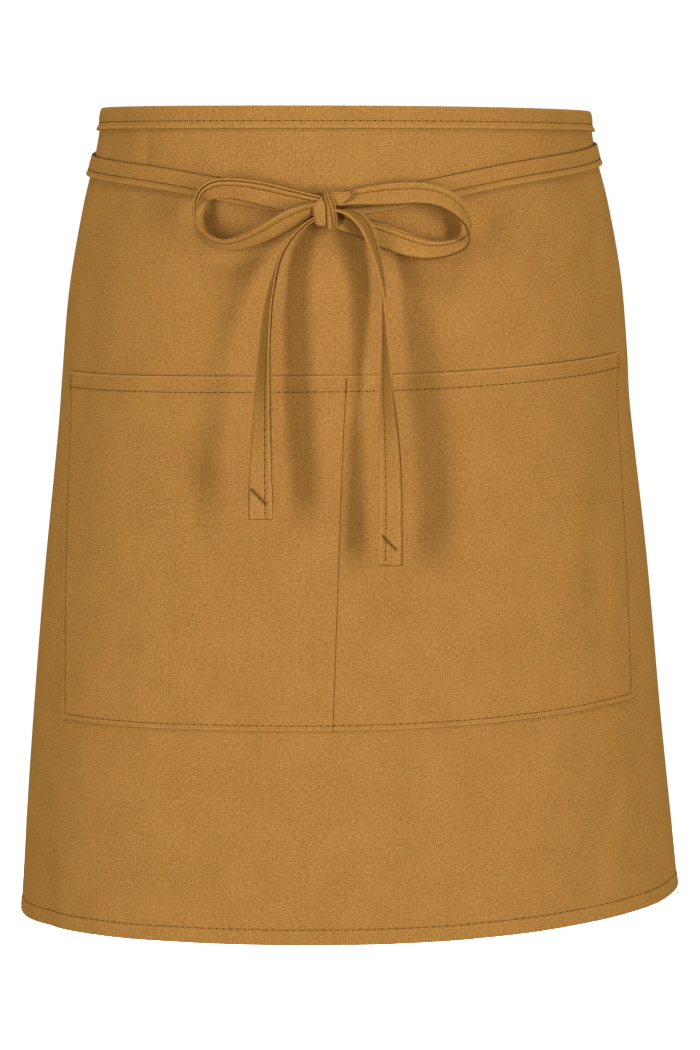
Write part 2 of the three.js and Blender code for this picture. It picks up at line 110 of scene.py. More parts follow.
def makeStage(s):  # floor and far wall glow evenly, so that they print as plain pale paper
    half = s["floorSize"] / 2
    paper = bpy.data.materials.new("palePaper")
    paper.use_nodes = True
    shader = paper.node_tree.nodes["Principled BSDF"]
    shader.inputs["Base Color"].default_value = (*s["floorColour"], 1)
    shader.inputs["Roughness"].default_value = s["floorRoughness"]
    shader.inputs["Emission Color"].default_value = (1, 1, 1, 1)
    shader.inputs["Emission Strength"].default_value = s["floorGlow"]
    turns = np.linspace(0, 2 * math.pi, s["floorSides"], endpoint=False)
    around = [(math.cos(turn), math.sin(turn)) for turn in turns]
    floor = [(half * x, half * y, -s["floorDrop"]) for x, y in around]
    rim = [(half * x, half * y, half) for x, y in around]
    count = len(around)
    sides = [(i, (i + 1) % count, (i + 1) % count + count, i + count) for i in range(count)]
    mesh = bpy.data.meshes.new("paleFloor")
    mesh.from_pydata(floor + rim, [], [tuple(range(count))] + sides)
    mesh.materials.append(paper)
    stage = bpy.data.objects.new("paleFloor", mesh)
    stage.visible_diffuse = False
    stage.visible_glossy = False
    stage.visible_shadow = False
    bpy.context.scene.collection.objects.link(stage)


makeCamera(cameraSet)
makeStudio(studio)
print("camera and studio made")


# The worn form: level ovals at drops below the waistband's top edge, in millimetres
wornForm = table("drop halfWidth front back lean lift", [
    (0, 170.6, 151, 116, 0, -1.2),
    (28, 175, 152.5, 118.5, -0.3, 0.2),
    (65, 184.3, 155, 123, -0.4, 2),
    (120, 194.4, 156.5, 134, -0.7, 5),
    (175, 199.5, 156.5, 142, -0.8, 7.2),
    (215, 202.3, 156, 146, -1.3, 7.8),
    (330, 215.2, 154.5, 153, -0.6, 8.4),
    (450, 226.7, 154.5, 158, 0.4, 8.6),
    (560, 236.6, 156, 162, 2.4, 8.6),
])
liftEven = 0.35  # share of the lift that grows evenly across; the rest grows towards the sides
bandTop = 7.4  # height of the waistband's top edge over the origin


def smoothAt(knots, values, at):  # smooth curve through the rows of one column
    slopes = np.empty(len(values))
    slopes[1:-1] = (values[2:] - values[:-2]) / (knots[2:] - knots[:-2])
    slopes[0] = (values[1] - values[0]) / (knots[1] - knots[0])
    slopes[-1] = (values[-1] - values[-2]) / (knots[-1] - knots[-2])
    i = np.clip(np.searchsorted(knots, at, side="right") - 1, 0, len(knots) - 2)
    span = knots[i + 1] - knots[i]
    t = np.clip((at - knots[i]) / span, 0, 1)
    ease = t * t * (3 - 2 * t)
    bend = t * (1 - t) * span * ((1 - t) * slopes[i] - t * slopes[i + 1])
    return values[i] * (1 - ease) + values[i + 1] * ease + bend


def rowAt(rows, column, at):
    at = np.asarray(at, float)
    return {name: smoothAt(rows[column], rows[name], at) for name in rows}


def formPoint(angle, drop, out):
    row = rowAt(wornForm, "drop", drop)
    across, ahead = np.sin(angle), np.cos(angle)
    depth = np.where(ahead > 0, row["front"], row["back"])
    sideways, forwards = across / row["halfWidth"], -ahead / depth
    size = np.hypot(sideways, forwards)
    raised = row["lift"] * across * (liftEven + (1 - liftEven) * np.abs(across))
    x = row["lean"] + row["halfWidth"] * across + out * sideways / size
    y = -depth * ahead + out * forwards / size
    return np.stack(np.broadcast_arrays(x, y, bandTop - drop + raised), axis=-1)


arcGrid = {"lowDrop": -4, "dropStep": 4, "drops": 146, "arcStep": 1, "arcs": 440, "angles": 720}


def makeAngleTable(g):  # angle from the front at each drop and each length of arc
    angle = np.linspace(0, math.pi, g["angles"] + 1)
    middle = (angle[1:] + angle[:-1]) / 2
    wanted = np.arange(g["arcs"]) * g["arcStep"]
    rows = []
    for i in range(g["drops"]):
        row = rowAt(wornForm, "drop", g["lowDrop"] + i * g["dropStep"])
        depth = np.where(middle < math.pi / 2, row["front"], row["back"])
        speed = np.hypot(row["halfWidth"] * np.cos(middle), depth * np.sin(middle))
        length = np.concatenate([[0], np.cumsum(speed * np.diff(angle))])
        rows.append(np.interp(wanted, length, angle))
    return np.array(rows)


angleTable = makeAngleTable(arcGrid)


def angleOfArc(arc, drop):
    arc, drop = np.broadcast_arrays(np.asarray(arc, float), np.asarray(drop, float))
    i = np.clip((drop - arcGrid["lowDrop"]) / arcGrid["dropStep"], 0, arcGrid["drops"] - 1.001)
    j = np.clip(np.abs(arc) / arcGrid["arcStep"], 0, arcGrid["arcs"] - 1.001)
    i0, j0 = i.astype(int), j.astype(int)
    p, q = i - i0, j - j0
    upper = angleTable[i0, j0] * (1 - q) + angleTable[i0, j0 + 1] * q
    lower = angleTable[i0 + 1, j0] * (1 - q) + angleTable[i0 + 1, j0 + 1] * q
    return np.sign(arc) * (upper * (1 - p) + lower * p)


softFolds = table("arc start end reach height slant", [
    (187, 240, 405, 13, -1.8, 0),
    (210, 435, 570, 12, -1.8, -0.3),
    (-236, 495, 610, 9, -1.6, 0),
    (362, 50, 760, 17, 5, 0.02),
    (-358, 60, 720, 18, 4.5, -0.03),
    (328, 120, 800, 16, -3.5, 0.03),
    (-322, 140, 820, 17, -3, -0.03),
])
smallGathers = table("arc start end reach height slant", [  # where the band holds the cloth in
    (-206, 8, 50, 4, 0.7, 0.05),
    (-191, 8, 52, 5, -0.9, 0.03),
    (-162, 8, 54, 6, 0.8, 0),
    (-147, 8, 58, 3, -1.5, 0),
    (-112, 8, 48, 5, -0.5, 0),
    (41, 14, 46, 4, -0.4, -0.8),
    (168, 8, 50, 5, -0.5, 0),
])


def foldHeight(folds, arc, drop):
    height = np.zeros(np.broadcast(arc, drop).shape)
    for middle, start, end, reach, high, slant in zip(*folds.values()):
        along = np.clip((drop - start) / (end - start), 0, 1)
        away = (arc - middle - slant * (drop - start)) / reach
        height = height + high * np.sin(along * math.pi) ** 2 * np.exp(-away * away)
    return height


def clothPoint(arc, drop, out):
    return formPoint(angleOfArc(arc, drop), drop, out + foldHeight(softFolds, arc, drop))


def bowPoint(x, drop, out):  # straight in front of the cloth
    row = rowAt(wornForm, "drop", drop)
    point = formPoint(np.arcsin((x - row["lean"]) / row["halfWidth"]), drop, 0)
    point[..., 1] -= out
    return point


def bump(value, middle, reach):
    return np.exp(-(((value - middle) / reach) ** 2))


def ramp(value, start, end):
    t = np.clip((value - start) / (end - start), 0, 1)
    return t * t * (3 - 2 * t)


def ripple(along, k):  # uneven puckering, the same on each run
    draw = np.random.default_rng(k["seed"])
    total = np.zeros(np.shape(along))
    for wave in k["waves"]:
        total = total + np.sin(along * 2 * math.pi / (wave * draw.uniform(0.9, 1.1)) + draw.uniform(0, 6.3))
    return k["height"] * (total / len(k["waves"]))


def stations(low, high, step, lines=(), reach=4.0, fine=0.8):  # closer together at the seam lines
    places = [np.linspace(low, high, int((high - low) / step) + 2)]
    for line in lines:
        places.append(np.arange(line - reach, line + reach + fine / 2, fine))
    merged = np.sort(np.concatenate(places))
    merged = merged[(merged > low + fine / 2) & (merged < high - fine / 2)]
    kept = [low]
    for place in merged:
        if place - kept[-1] > fine * 0.7:
            kept.append(place)
    return np.array(kept + [high])


print("worn form worked out")


# Meshes
weaveMap = "weaveMetres"  # the cloth's own flat map, in metres
paintedLightMap = "paintedLightEdge"  # 1 marks a painted highlight where a fold or rim catches light, -1 painted shade in creases and along edges turned from the light
# painted light on cloth walls: a highlight along the outer border, a highlight or painted shade on the rims
wallPaintedLight = {"edge": 0.7, "paintedHighlightRim": 1, "paintedShadeRim": -0.8}


def makePiece(name, points, faces, flatPlaces, *materials, which=None, worn=None):
    mesh = bpy.data.meshes.new(name)
    mesh.from_pydata((np.asarray(points) * mm).tolist(), [], [tuple(f) for f in faces])
    mesh.polygons.foreach_set("use_smooth", [True] * len(mesh.polygons))
    corners = np.empty(len(mesh.loops), np.int32)
    mesh.loops.foreach_get("vertex_index", corners)
    layer = mesh.uv_layers.new(name=weaveMap)
    layer.data.foreach_set("uv", (np.asarray(flatPlaces)[corners] * mm).astype(np.float32).ravel())
    for material in materials:
        mesh.materials.append(material)
    if which is not None:
        mesh.polygons.foreach_set("material_index", which)
    # painted light, if given, goes in a point attribute that the material reads
    if worn is not None:
        mesh.attributes.new(paintedLightMap, "FLOAT", "POINT").data.foreach_set("value", np.asarray(worn, np.float32))
    mesh.validate()
    piece = bpy.data.objects.new(name, mesh)
    bpy.context.scene.collection.objects.link(piece)
    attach(piece, "root")
    return piece


def facedOut(points, faces):  # turns a closed body's faces outwards
    corners = [points[[f[k] for f in faces]] for k in range(3)]
    last = points[[f[-1] for f in faces]]
    volume = np.einsum("ij,ij->", corners[0], np.cross(corners[1], corners[2]))
    volume += np.einsum("ij,ij->", corners[0], np.cross(corners[2], last))
    return faces if volume > 0 else [f[::-1] for f in faces]


def clothWall(arcs, drops, outer, inner, paintedHighlightTop=0, rimSteps=4):
    # Outer and inner face over the same stations, with a round edge from one to the other.
    # A painted highlight goes on the top rim when the top flag is 1, painted shade on the other rims, and a
    # fainter painted highlight along the outer face's border.
    rows, columns = arcs.shape
    index = np.arange(rows * columns).reshape(rows, columns)
    a, b, c, d = index[:-1, :-1], index[1:, :-1], index[1:, 1:], index[:-1, 1:]
    front = np.stack([a, b, c, d], axis=-1).reshape(-1, 4)
    back = front[:, ::-1] + rows * columns
    edge = np.concatenate([index[0, :-1], index[:-1, -1], index[-1, :0:-1], index[:0:-1, 0]])
    inwards = index.copy()
    inwards[0], inwards[-1] = inwards[1], inwards[-2]
    inwards[:, 0], inwards[:, -1] = inwards[:, 1], inwards[:, -2]
    flat = np.stack([arcs.ravel(), drops.ravel()], axis=-1)
    away = flat[edge] - flat[inwards.ravel()[edge]]
    away /= np.linalg.norm(away, axis=1)[:, None]
    high, low = outer.ravel()[edge], inner.ravel()[edge]
    places = [flat, flat]
    points = [clothPoint(arcs, drops, outer).reshape(-1, 3), clothPoint(arcs, drops, inner).reshape(-1, 3)]
    rings = [edge]
    count = 2 * rows * columns
    for k in range(1, rimSteps):
        turn = math.pi * k / rimSteps
        half = (high - low) / 2
        place = flat[edge] + away * (half * math.sin(turn))[:, None]
        points.append(clothPoint(place[:, 0], place[:, 1], (high + low) / 2 + half * math.cos(turn)))
        places.append(place)
        rings.append(np.arange(count, count + len(edge)))
        count += len(edge)
    rings.append(edge + rows * columns)
    sides = []
    for near, far in zip(rings, rings[1:]):
        sides.append(np.stack([near, np.roll(near, -1), np.roll(far, -1), far], axis=-1))
    faces = np.concatenate([front, back, *sides]).tolist()
    # painted highlight along the outer face's border; the rims get a painted highlight at the top if asked,
    # else painted shade
    worn = np.zeros(count)
    worn[edge] = wallPaintedLight["edge"]
    rim = np.where(edge < columns * paintedHighlightTop, wallPaintedLight["paintedHighlightRim"], wallPaintedLight["paintedShadeRim"])
    worn[2 * rows * columns:] = np.tile(rim, rimSteps - 1)
    return np.concatenate(points), faces, np.concatenate(places), worn


def loft(sections, flatAcross, flatAlong):
    # Closed sections joined one after the other, with a face over each end.
    count, sides = sections.shape[:2]
    index = np.arange(count * sides).reshape(count, sides)
    near, far = index[:-1], index[1:]
    quads = np.stack([near, np.roll(near, -1, axis=1), np.roll(far, -1, axis=1), far], axis=-1).reshape(-1, 4)
    faces = quads.tolist() + [index[0, ::-1].tolist(), index[-1].tolist()]
    points = sections.reshape(-1, 3)
    flat = np.stack(np.broadcast_arrays(flatAlong[:, None], flatAcross[None, :]), axis=-1).reshape(-1, 2)
    return points, facedOut(points, faces), flat


# Materials
class Wire:  # a socket that can stand in a sum
    def __init__(self, bench, socket):
        self.bench, self.socket = bench, socket

    def sum(self, operation, first, second):
        return self.bench.node("ShaderNodeMath", {"operation": operation}, {0: first, 1: second})

    def __add__(self, other):
        return self.sum("ADD", self, other)

    def __sub__(self, other):
        return self.sum("SUBTRACT", self, other)

    def __rsub__(self, other):
        return self.sum("SUBTRACT", other, self)

    def __mul__(self, other):
        return self.sum("MULTIPLY", self, other)

    __radd__ = __add__
    __rmul__ = __mul__


class Bench:  # the nodes of one material
    def __init__(self, name):
        self.material = bpy.data.materials.new(name)
        self.material.use_nodes = True
        self.tree = self.material.node_tree
        self.shader = self.tree.nodes["Principled BSDF"]

    def node(self, kind, settings, sockets, output=0):
        made = self.tree.nodes.new(kind)
        for name, value in settings.items():
            setattr(made, name, value)
        for name, value in sockets.items():
            self.plug(made.inputs[name], value)
        return Wire(self, made.outputs[output])

    def plug(self, socket, value):
        if isinstance(value, Wire):
            self.tree.links.new(value.socket, socket)
        else:
            socket.default_value = value

    def sine(self, wire):
        return self.node("ShaderNodeMath", {"operation": "SINE"}, {0: wire})

    def noise(self, place, stretch, detail=2.0):
        spread = self.node("ShaderNodeVectorMath", {"operation": "MULTIPLY"}, {0: place, 1: stretch})
        return self.node("ShaderNodeTexNoise", {}, {"Vector": spread, "Scale": 1.0, "Detail": detail})

    def blend(self, share, first, second):
        return self.node("ShaderNodeMix", {"data_type": "RGBA"}, {0: share, 6: first, 7: second}, output=2)


twillSet = {
    "light": (0.585, 0.3, 0.076, 1),
    "dark": (0.315, 0.141, 0.019, 1),
    "blush": (0.5, 0.208, 0.056, 1),
    # colour of the painted shade in creases and along edges turned from the light
    "paintedShade": (0.17, 0.067, 0.008, 1),
    "ribPitch": 0.00125,  # across the slanting ribs, in metres
    "ribSlope": 1.28,  # ribs are steeper than the diagonal
    "ribShade": 0.15,
    "ribHeight": 0.4,
    "ribWander": 3,
    "rowPitch": 0.00193,  # between the threads that show, down and across
    "rowShade": 0.1,
    "rowHeight": 0.2,
    "rowWander": 4,
    "weft": (350, 1300, 1),  # stretch of the thread noise, in features for each metre
    "warp": (1300, 350, 1),
    "threadShade": 1.3,
    "threadHeight": 0.6,
    "threadRough": 0.2,
    "grain": (1200, 1200, 1),
    "grainShade": 1.3,
    "grainHeight": 0.4,
    "cloud": (40, 32, 1),
    "cloudShade": 0.4,
    "mottle": (110, 85, 1),  # the dye is a little uneven
    "mottleFrom": 0.4,
    "mottleShade": 0.8,
    # strength of the painted light in the weave's share
    "paintedLightStrength": 0.35,
    "roughness": 0.82,
    "bumpDepth": 0.00018,
    "bumpStrength": 0.5,
    "specular": 0.25,
    "matt": 0.6,  # roughness of the diffuse light
    "sheen": 0.02,
    "sheenRoughness": 0.5,
    "sheenTint": (1, 0.8, 0.5, 1),
}


def makeTwill(name, s):
    bench = Bench(name)
    place = bench.node("ShaderNodeUVMap", {"uv_map": weaveMap}, {})
    along = bench.node("ShaderNodeSeparateXYZ", {}, {0: place})
    down = bench.node("ShaderNodeSeparateXYZ", {}, {0: place}, output=1)
    turns = 2 * math.pi / (s["ribPitch"] * math.hypot(1, s["ribSlope"]))
    weft = bench.noise(place, s["weft"]) - 0.5
    warp = bench.noise(place, s["warp"]) - 0.5
    cloud = bench.noise(place, s["cloud"], 4.0) - 0.5
    grain = bench.noise(place, s["grain"]) - 0.5
    thread = weft + warp
    rib = bench.sine((along * s["ribSlope"] + down) * turns + warp * s["ribWander"])
    row = bench.sine(down * (2 * math.pi / s["rowPitch"]) + weft * s["rowWander"])
    row = row + bench.sine(along * (2 * math.pi / s["rowPitch"]) + warp * s["rowWander"])
    # painted light from the mesh: above 0 lightens as a painted highlight, below 0 darkens towards the
    # painted shade colour
    worn = bench.node("ShaderNodeAttribute", {"attribute_name": paintedLightMap}, {}, output=2)
    share = 0.5 + rib * s["ribShade"] + row * s["rowShade"] + thread * s["threadShade"]
    share = share + grain * s["grainShade"] + cloud * s["cloudShade"] + worn * s["paintedLightStrength"]
    mottle = (bench.noise(place, s["mottle"]) - s["mottleFrom"]) * s["mottleShade"]
    dyed = bench.blend(mottle, bench.blend(share, s["dark"], s["light"]), s["blush"])
    shader = bench.shader
    bench.plug(shader.inputs["Base Color"], bench.blend(worn * -1, dyed, s["paintedShade"]))
    bench.plug(shader.inputs["Roughness"], s["roughness"] + thread * s["threadRough"])
    height = rib * s["ribHeight"] + row * s["rowHeight"]
    height = height + thread * s["threadHeight"] + grain * s["grainHeight"]
    bumped = bench.node("ShaderNodeBump", {}, {
        "Height": height, "Distance": s["bumpDepth"], "Strength": s["bumpStrength"]})
    bench.plug(shader.inputs["Normal"], bumped)
    shader.inputs["Diffuse Roughness"].default_value = s["matt"]
    shader.inputs["Specular IOR Level"].default_value = s["specular"]
    shader.inputs["Sheen Weight"].default_value = s["sheen"]
    shader.inputs["Sheen Roughness"].default_value = s["sheenRoughness"]
    shader.inputs["Sheen Tint"].default_value = s["sheenTint"]
    return bench.material


threadSet = {
    "light": (0.34, 0.155, 0.022, 1),
    "dark": (0.24, 0.105, 0.014, 1),
    "ply": (900, 900, 1),
    "plyRough": 0.2,
    "roughness": 0.8,
    "specular": 0.05,
}
tapeThreadSet = {**threadSet, "light": (0.24, 0.09, 0.012, 1), "dark": (0.16, 0.057, 0.008, 1)}
# thread for the needles' holes, darkened with painted shade
holeShadeThreadSet = {**threadSet, "light": (0.11, 0.038, 0.005, 1), "dark": (0.06, 0.02, 0.003, 1)}
tackThreadSet = {**threadSet, "light": (0.28, 0.11, 0.024, 1), "dark": (0.14, 0.05, 0.01, 1)}


def makeThread(name, s):
    bench = Bench(name)
    place = bench.node("ShaderNodeUVMap", {"uv_map": weaveMap}, {})
    ply = bench.noise(place, s["ply"])
    bench.plug(bench.shader.inputs["Base Color"], bench.blend(ply, s["dark"], s["light"]))
    bench.plug(bench.shader.inputs["Roughness"], s["roughness"] + ply * s["plyRough"])
    bench.shader.inputs["Specular IOR Level"].default_value = s["specular"]
    return bench.material


twill = makeTwill("ochreTwill", twillSet)
tapeTwill = makeTwill("ochreTape", {**twillSet, "ribSlope": 0.5})
brownThread = makeThread("brownThread", threadSet)
tapeThread = makeThread("tapeThread", tapeThreadSet)
holeShadeThread = makeThread("holeShadeThread", holeShadeThreadSet)
tackThread = makeThread("tackThread", tackThreadSet)
print("materials made")


# Stitches: flat beads of thread laid in runs; at each needle's hole a darker bead, the thread darkened with
# painted shade of the hole
stitch = {
    "pitch": 4.9,
    "sides": 6,
    "rings": 5,
    "blunt": 0.5,
    "lift": 0.12,  # of the thread's middle over the cloth
    "tackPitch": 0.75,
    "flatStep": 7.3,  # from bead to bead on the flat map
}
stitchKinds = table("length width height thread", [  # thread is 0 plain, 1 darkened by painted shade of a needle's hole, 2 of a tack
    (3.8, 0.6, 0.45, 0),  # on the cloth
    (1.5, 1, 0.4, 1),  # at the needle's hole in the cloth, thread darkened with painted shade
    (1, 0.75, 0.55, 2),  # in a bar tack
    (4.3, 0.7, 0.5, 0),  # on a tape
    (1.3, 0.85, 0.45, 1),  # at the needle's hole in a tape, thread darkened with painted shade
    (4.6, 0.6, 0.4, 2),  # sunk in the pocket's dividing seam
])
clothKinds, tapeKinds, seamKinds = (0, 1), (3, 4), (5, 5)  # rows for a stitch and for the hole after it
tackKind = 2


def beadShape(s):
    ends = np.linspace(0, math.pi, s["rings"] + 2)[1:-1]
    around = np.linspace(0, 2 * math.pi, s["sides"], endpoint=False)
    body = []
    for end in ends:
        reach = -math.cos(end) ** 3 * s["blunt"] - math.cos(end) * (1 - s["blunt"])
        body += [(reach, math.sin(end) * math.cos(turn), math.sin(end) * math.sin(turn)) for turn in around]
    points = np.array([(-1, 0, 0)] + body + [(1, 0, 0)])
    n, last = s["sides"], len(points) - 1
    faces = [(0, 1 + (i + 1) % n, 1 + i) for i in range(n)]
    for r in range(s["rings"] - 1):
        for i in range(n):
            a, b = 1 + r * n + i, 1 + r * n + (i + 1) % n
            faces.append((a, b, b + n, a + n))
    faces += [(last, last - n + i, last - n + (i + 1) % n) for i in range(n)]
    return points, faces


beadPoints, beadFaces = beadShape(stitch)


def distances(line):
    return np.concatenate([[0], np.cumsum(np.linalg.norm(np.diff(line, axis=0), axis=1))])


def readAlong(values, gone, at):
    return np.stack([np.interp(at, gone, values[:, k]) for k in range(3)], axis=-1)


def stitchRun(line, normals, pair=clothKinds):  # both ends of each bead, the way out there, and its kind
    gone = distances(line)
    joints = np.linspace(0, gone[-1], max(1, int(round(gone[-1] / stitch["pitch"]))) + 1)
    places = np.concatenate([(joints[1:] + joints[:-1]) / 2, joints])
    kinds = np.repeat(pair, [len(joints) - 1, len(joints)])
    half = stitchKinds["length"][kinds] / 2
    return (readAlong(line, gone, places - half), readAlong(line, gone, places + half),
            readAlong(normals, gone, places), kinds)


def tackRun(line, normals, across):  # zigzag of a bar tack
    gone = distances(line)
    count = int(gone[-1] / stitch["tackPitch"])
    middles = np.linspace(0, gone[-1], count)
    line = readAlong(line, gone, middles)
    out = readAlong(normals, gone, middles)
    out /= np.linalg.norm(out, axis=1)[:, None]
    side = np.cross(np.gradient(line, axis=0), out)
    side *= (across / 2 / np.linalg.norm(side, axis=1) * np.where(np.arange(count) % 2, 1, -1))[:, None]
    zigzag = line + side
    return zigzag[:-1], zigzag[1:], out[:-1], np.full(count - 1, tackKind)


def makeStitches(name, runs, plain=brownThread):
    heads, tails, outs, kinds = (np.concatenate(parts) for parts in zip(*runs))
    along = tails - heads
    size = np.linalg.norm(along, axis=1)[:, None]
    along = along / size
    out = outs - along * np.einsum("ij,ij->i", outs, along)[:, None]
    out /= np.linalg.norm(out, axis=1)[:, None]
    side = np.cross(out, along)
    middle = (heads + tails) / 2
    wide, high = stitchKinds["width"][kinds], stitchKinds["height"][kinds]
    points = middle[:, None] + beadPoints[None, :, :1] * (along * size / 2)[:, None]
    points = points + beadPoints[None, :, 1:2] * (side * wide[:, None] / 2)[:, None]
    points = points + beadPoints[None, :, 2:] * (out * high[:, None] / 2)[:, None]
    faces = []
    for i in range(len(middle)):
        first = i * len(beadPoints)
        faces.extend(tuple(first + k for k in f) for f in beadFaces)
    flatAlong = np.arange(len(middle))[:, None] * stitch["flatStep"] + beadPoints[None, :, 0]
    flat = np.stack([flatAlong, beadPoints[None, :, 1] * wide[:, None]], axis=-1)
    which = np.repeat(stitchKinds["thread"][kinds].astype(np.int32), len(beadFaces))
    threads = (plain, holeShadeThread, tackThread)
    piece = makePiece(name, points.reshape(-1, 3), faces, flat.reshape(-1, 2), *threads, which=which)
    print(name, len(middle), "beads of thread")
    return piece


def clothRun(arc, drop, out, inside=False):  # a line on the cloth with its outward direction
    line = clothPoint(arc, drop, out)
    normals = clothPoint(arc, drop, out + 1) - line
    return line, -normals if inside else normals


# Apron panel
panel = {
    "width": 800,
    "length": 560,
    "top": 2,
    "cloth": 0.9,
    "hemCloth": 1.9,
    "sideHem": 11,
    "bottomHem": 10.5,
    "stitchIn": 0.9,  # from the hem's inner fold
    "hemSwell": 0.5,
    "swellRun": (3, 4),  # before and after the line of stitches
    "stitchSink": 0.45,
    "sinkWide": 1.3,
    "hemRun": (0.6, 0.2),  # the step at the hem's inner fold
    "footPucker": {"height": 0.2, "seed": 3, "waves": (11, 17, 29, 47), "reach": 6},
    "sidePucker": {"height": 0.2, "seed": 5, "waves": (13, 19, 31), "reach": 9},
    "drape": {"height": 0.5, "seed": 11, "waves": (61, 97, 143), "slant": 0.15, "grows": (60, 250)},
    "underBand": (15, 26),
    "heldIn": (8, 20),  # the band keeps the cloth above flat
    "dent": {"top": 174.5, "sag": 3, "half": 228, "deep": 1.1, "wide": 0.7, "above": 0.2},  # at the pocket
    "step": (3.4, 4.6),
    "lineSteps": (500, 300),  # along the foot and along each side
}


def panelOuter(p, arc, drop):
    away = np.abs(arc)
    sideLine = p["width"] / 2 - p["sideHem"] + p["stitchIn"]
    footLine = p["length"] - p["bottomHem"] + p["stitchIn"]
    before, after = p["swellRun"]
    foot, side, drape = p["footPucker"], p["sidePucker"], p["drape"]
    pucker = ripple(arc, foot) * bump(drop, footLine, foot["reach"])
    pucker = pucker + ripple(drop, side) * bump(away, sideLine, side["reach"])
    sideSwell = ramp(away, sideLine - before, sideLine + after) * ramp(drop, *p["underBand"])
    swell = p["hemSwell"] * np.maximum(ramp(drop, footLine - before, footLine + after), sideSwell)
    sink = np.maximum(bump(drop, footLine, p["sinkWide"]), bump(away, sideLine, p["sinkWide"]))
    gather = foldHeight(smallGathers, arc, drop)
    hang = ripple(arc + drape["slant"] * drop, drape) * ramp(drop, *drape["grows"])
    return (swell - p["stitchSink"] * sink + pucker + gather + hang) * ramp(drop, *p["heldIn"])


def panelInner(p, arc, drop):
    edge, foot = p["width"] / 2 - p["sideHem"], p["length"] - p["bottomHem"]
    before, after = p["hemRun"]
    sideHem = ramp(np.abs(arc), edge - before, edge + after) * ramp(drop, *p["underBand"])
    hem = np.maximum(ramp(drop, foot - before, foot + after), sideHem)
    return panelOuter(p, arc, drop) - p["cloth"] - (p["hemCloth"] - p["cloth"]) * hem


def makePanel(p):
    half = p["width"] / 2
    fold, foot = half - p["sideHem"], p["length"] - p["bottomHem"]
    across = stations(-half, half, p["step"][0], (-half, -fold, fold, half), reach=3, fine=0.7)
    dent = p["dent"]
    seams = (p["underBand"][0], dent["top"] + 1, foot, p["length"])
    down = stations(p["top"], p["length"], p["step"][1], seams, reach=4, fine=0.6)
    arcs, drops = np.meshgrid(across, down)
    mouth = dent["top"] + dent["sag"] * (1 - (arcs / dent["half"]) ** 2)
    pressed = dent["deep"] * bump(drops, mouth - dent["above"], dent["wide"]) * (np.abs(arcs) < dent["half"])
    outer, inner = panelOuter(p, arcs, drops) - pressed, panelInner(p, arcs, drops) - pressed
    *walls, worn = clothWall(arcs, drops, outer, inner)
    piece = makePiece("apron_panel_cloth", *walls, twill, worn=worn)
    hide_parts("apron_panel")
    sideLine, footLine = fold + p["stitchIn"], foot + p["stitchIn"]
    footSteps, sideSteps = p["lineSteps"]
    lines = [(np.linspace(-sideLine, sideLine, footSteps), np.full(footSteps, footLine))]
    sideDrops = np.linspace(p["underBand"][0] + 1, footLine, sideSteps)
    lines += [(np.full(sideSteps, side * sideLine), sideDrops) for side in (-1, 1)]
    runs = []
    for arc, drop in lines:
        runs.append(stitchRun(*clothRun(arc, drop, panelOuter(p, arc, drop) + stitch["lift"])))
        runs.append(stitchRun(*clothRun(arc, drop, panelInner(p, arc, drop) - stitch["lift"], True)))
    thread = makeStitches("panel_stitches", runs)


makePanel(panel)
print("panel made")


# Waistband: tape folded over the panel's top edge
band = {
    "width": 800,
    "height": 14.8,
    "flatWidth": 33,  # the tape before it is folded
    "stitchDrop": 9.9,
    "stitchOut": (1.02, -1.95),  # outside and inside
    "stitchSteps": 600,
    "stitchEnd": 1,  # from the band's ends
    "wave": {"height": 0.18, "seed": 17, "waves": (23, 41, 67)},  # of the loose lower edge
    "step": 3.0,
    # the last column is painted light: painted shade along the folded top, painted highlight below it and on
    # the loose lower lip
    "section": table("drop out worn", [  # up the outside, down the inside, then up and down in between
        (14.9, 1.35, -0.8), (14.95, 1.75, -0.8), (14.5, 2.1, 0.5), (13.4, 2.05, 0.5), (11.8, 1.5, 0),
        (10.6, 1.05, 0), (9.9, 0.92, 0), (9.2, 1.05, 0), (8, 1.3, 0), (6, 1.42, 0), (3, 1.35, 0),
        (1.4, 1.1, 0), (0.5, 0.55, 0.7), (0.1, -0.1, 0.7), (0.05, -0.9, 0.7), (0.4, -1.6, 0.7),
        (1.3, -2.1, 0), (3, -2.3, 0), (8, -2.2, 0), (9.9, -1.85, 0), (11.8, -2.3, 0), (13.4, -2.75, 0.5),
        (14.5, -2.8, 0.5), (14.95, -2.5, -0.8), (14.9, -2.1, -0.8), (13, -1.5, 0), (3, -1.25, 0),
        (1.9, -0.5, 0), (3, 0.3, 0), (13, 0.55, 0),
    ]),
}


def makeBand(b):
    half = b["width"] / 2
    arcs = stations(-half, half, b["step"])
    drop, out, worn = b["section"].values()
    loose = ramp(drop, b["stitchDrop"], b["height"]) * np.sign(out)
    waved = out[None, :] + ripple(arcs, b["wave"])[:, None] * loose[None, :]
    sections = clothPoint(arcs[:, None], drop[None, :], waved)
    walls = loft(sections, distances(np.stack([drop, out], axis=-1)), arcs)
    piece = makePiece("waistband_binding", *walls, twill, worn=np.tile(worn, len(arcs)))
    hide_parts("waistband")
    end = half - b["stitchEnd"]
    arc = np.linspace(-end, end, b["stitchSteps"])
    line = np.full(b["stitchSteps"], b["stitchDrop"])
    outside, inside = b["stitchOut"]
    thread = makeStitches("waistband_stitches", [
        stitchRun(*clothRun(arc, line, outside)),
        stitchRun(*clothRun(arc, line, inside, True)),
    ])


makeBand(band)
print("waistband made")


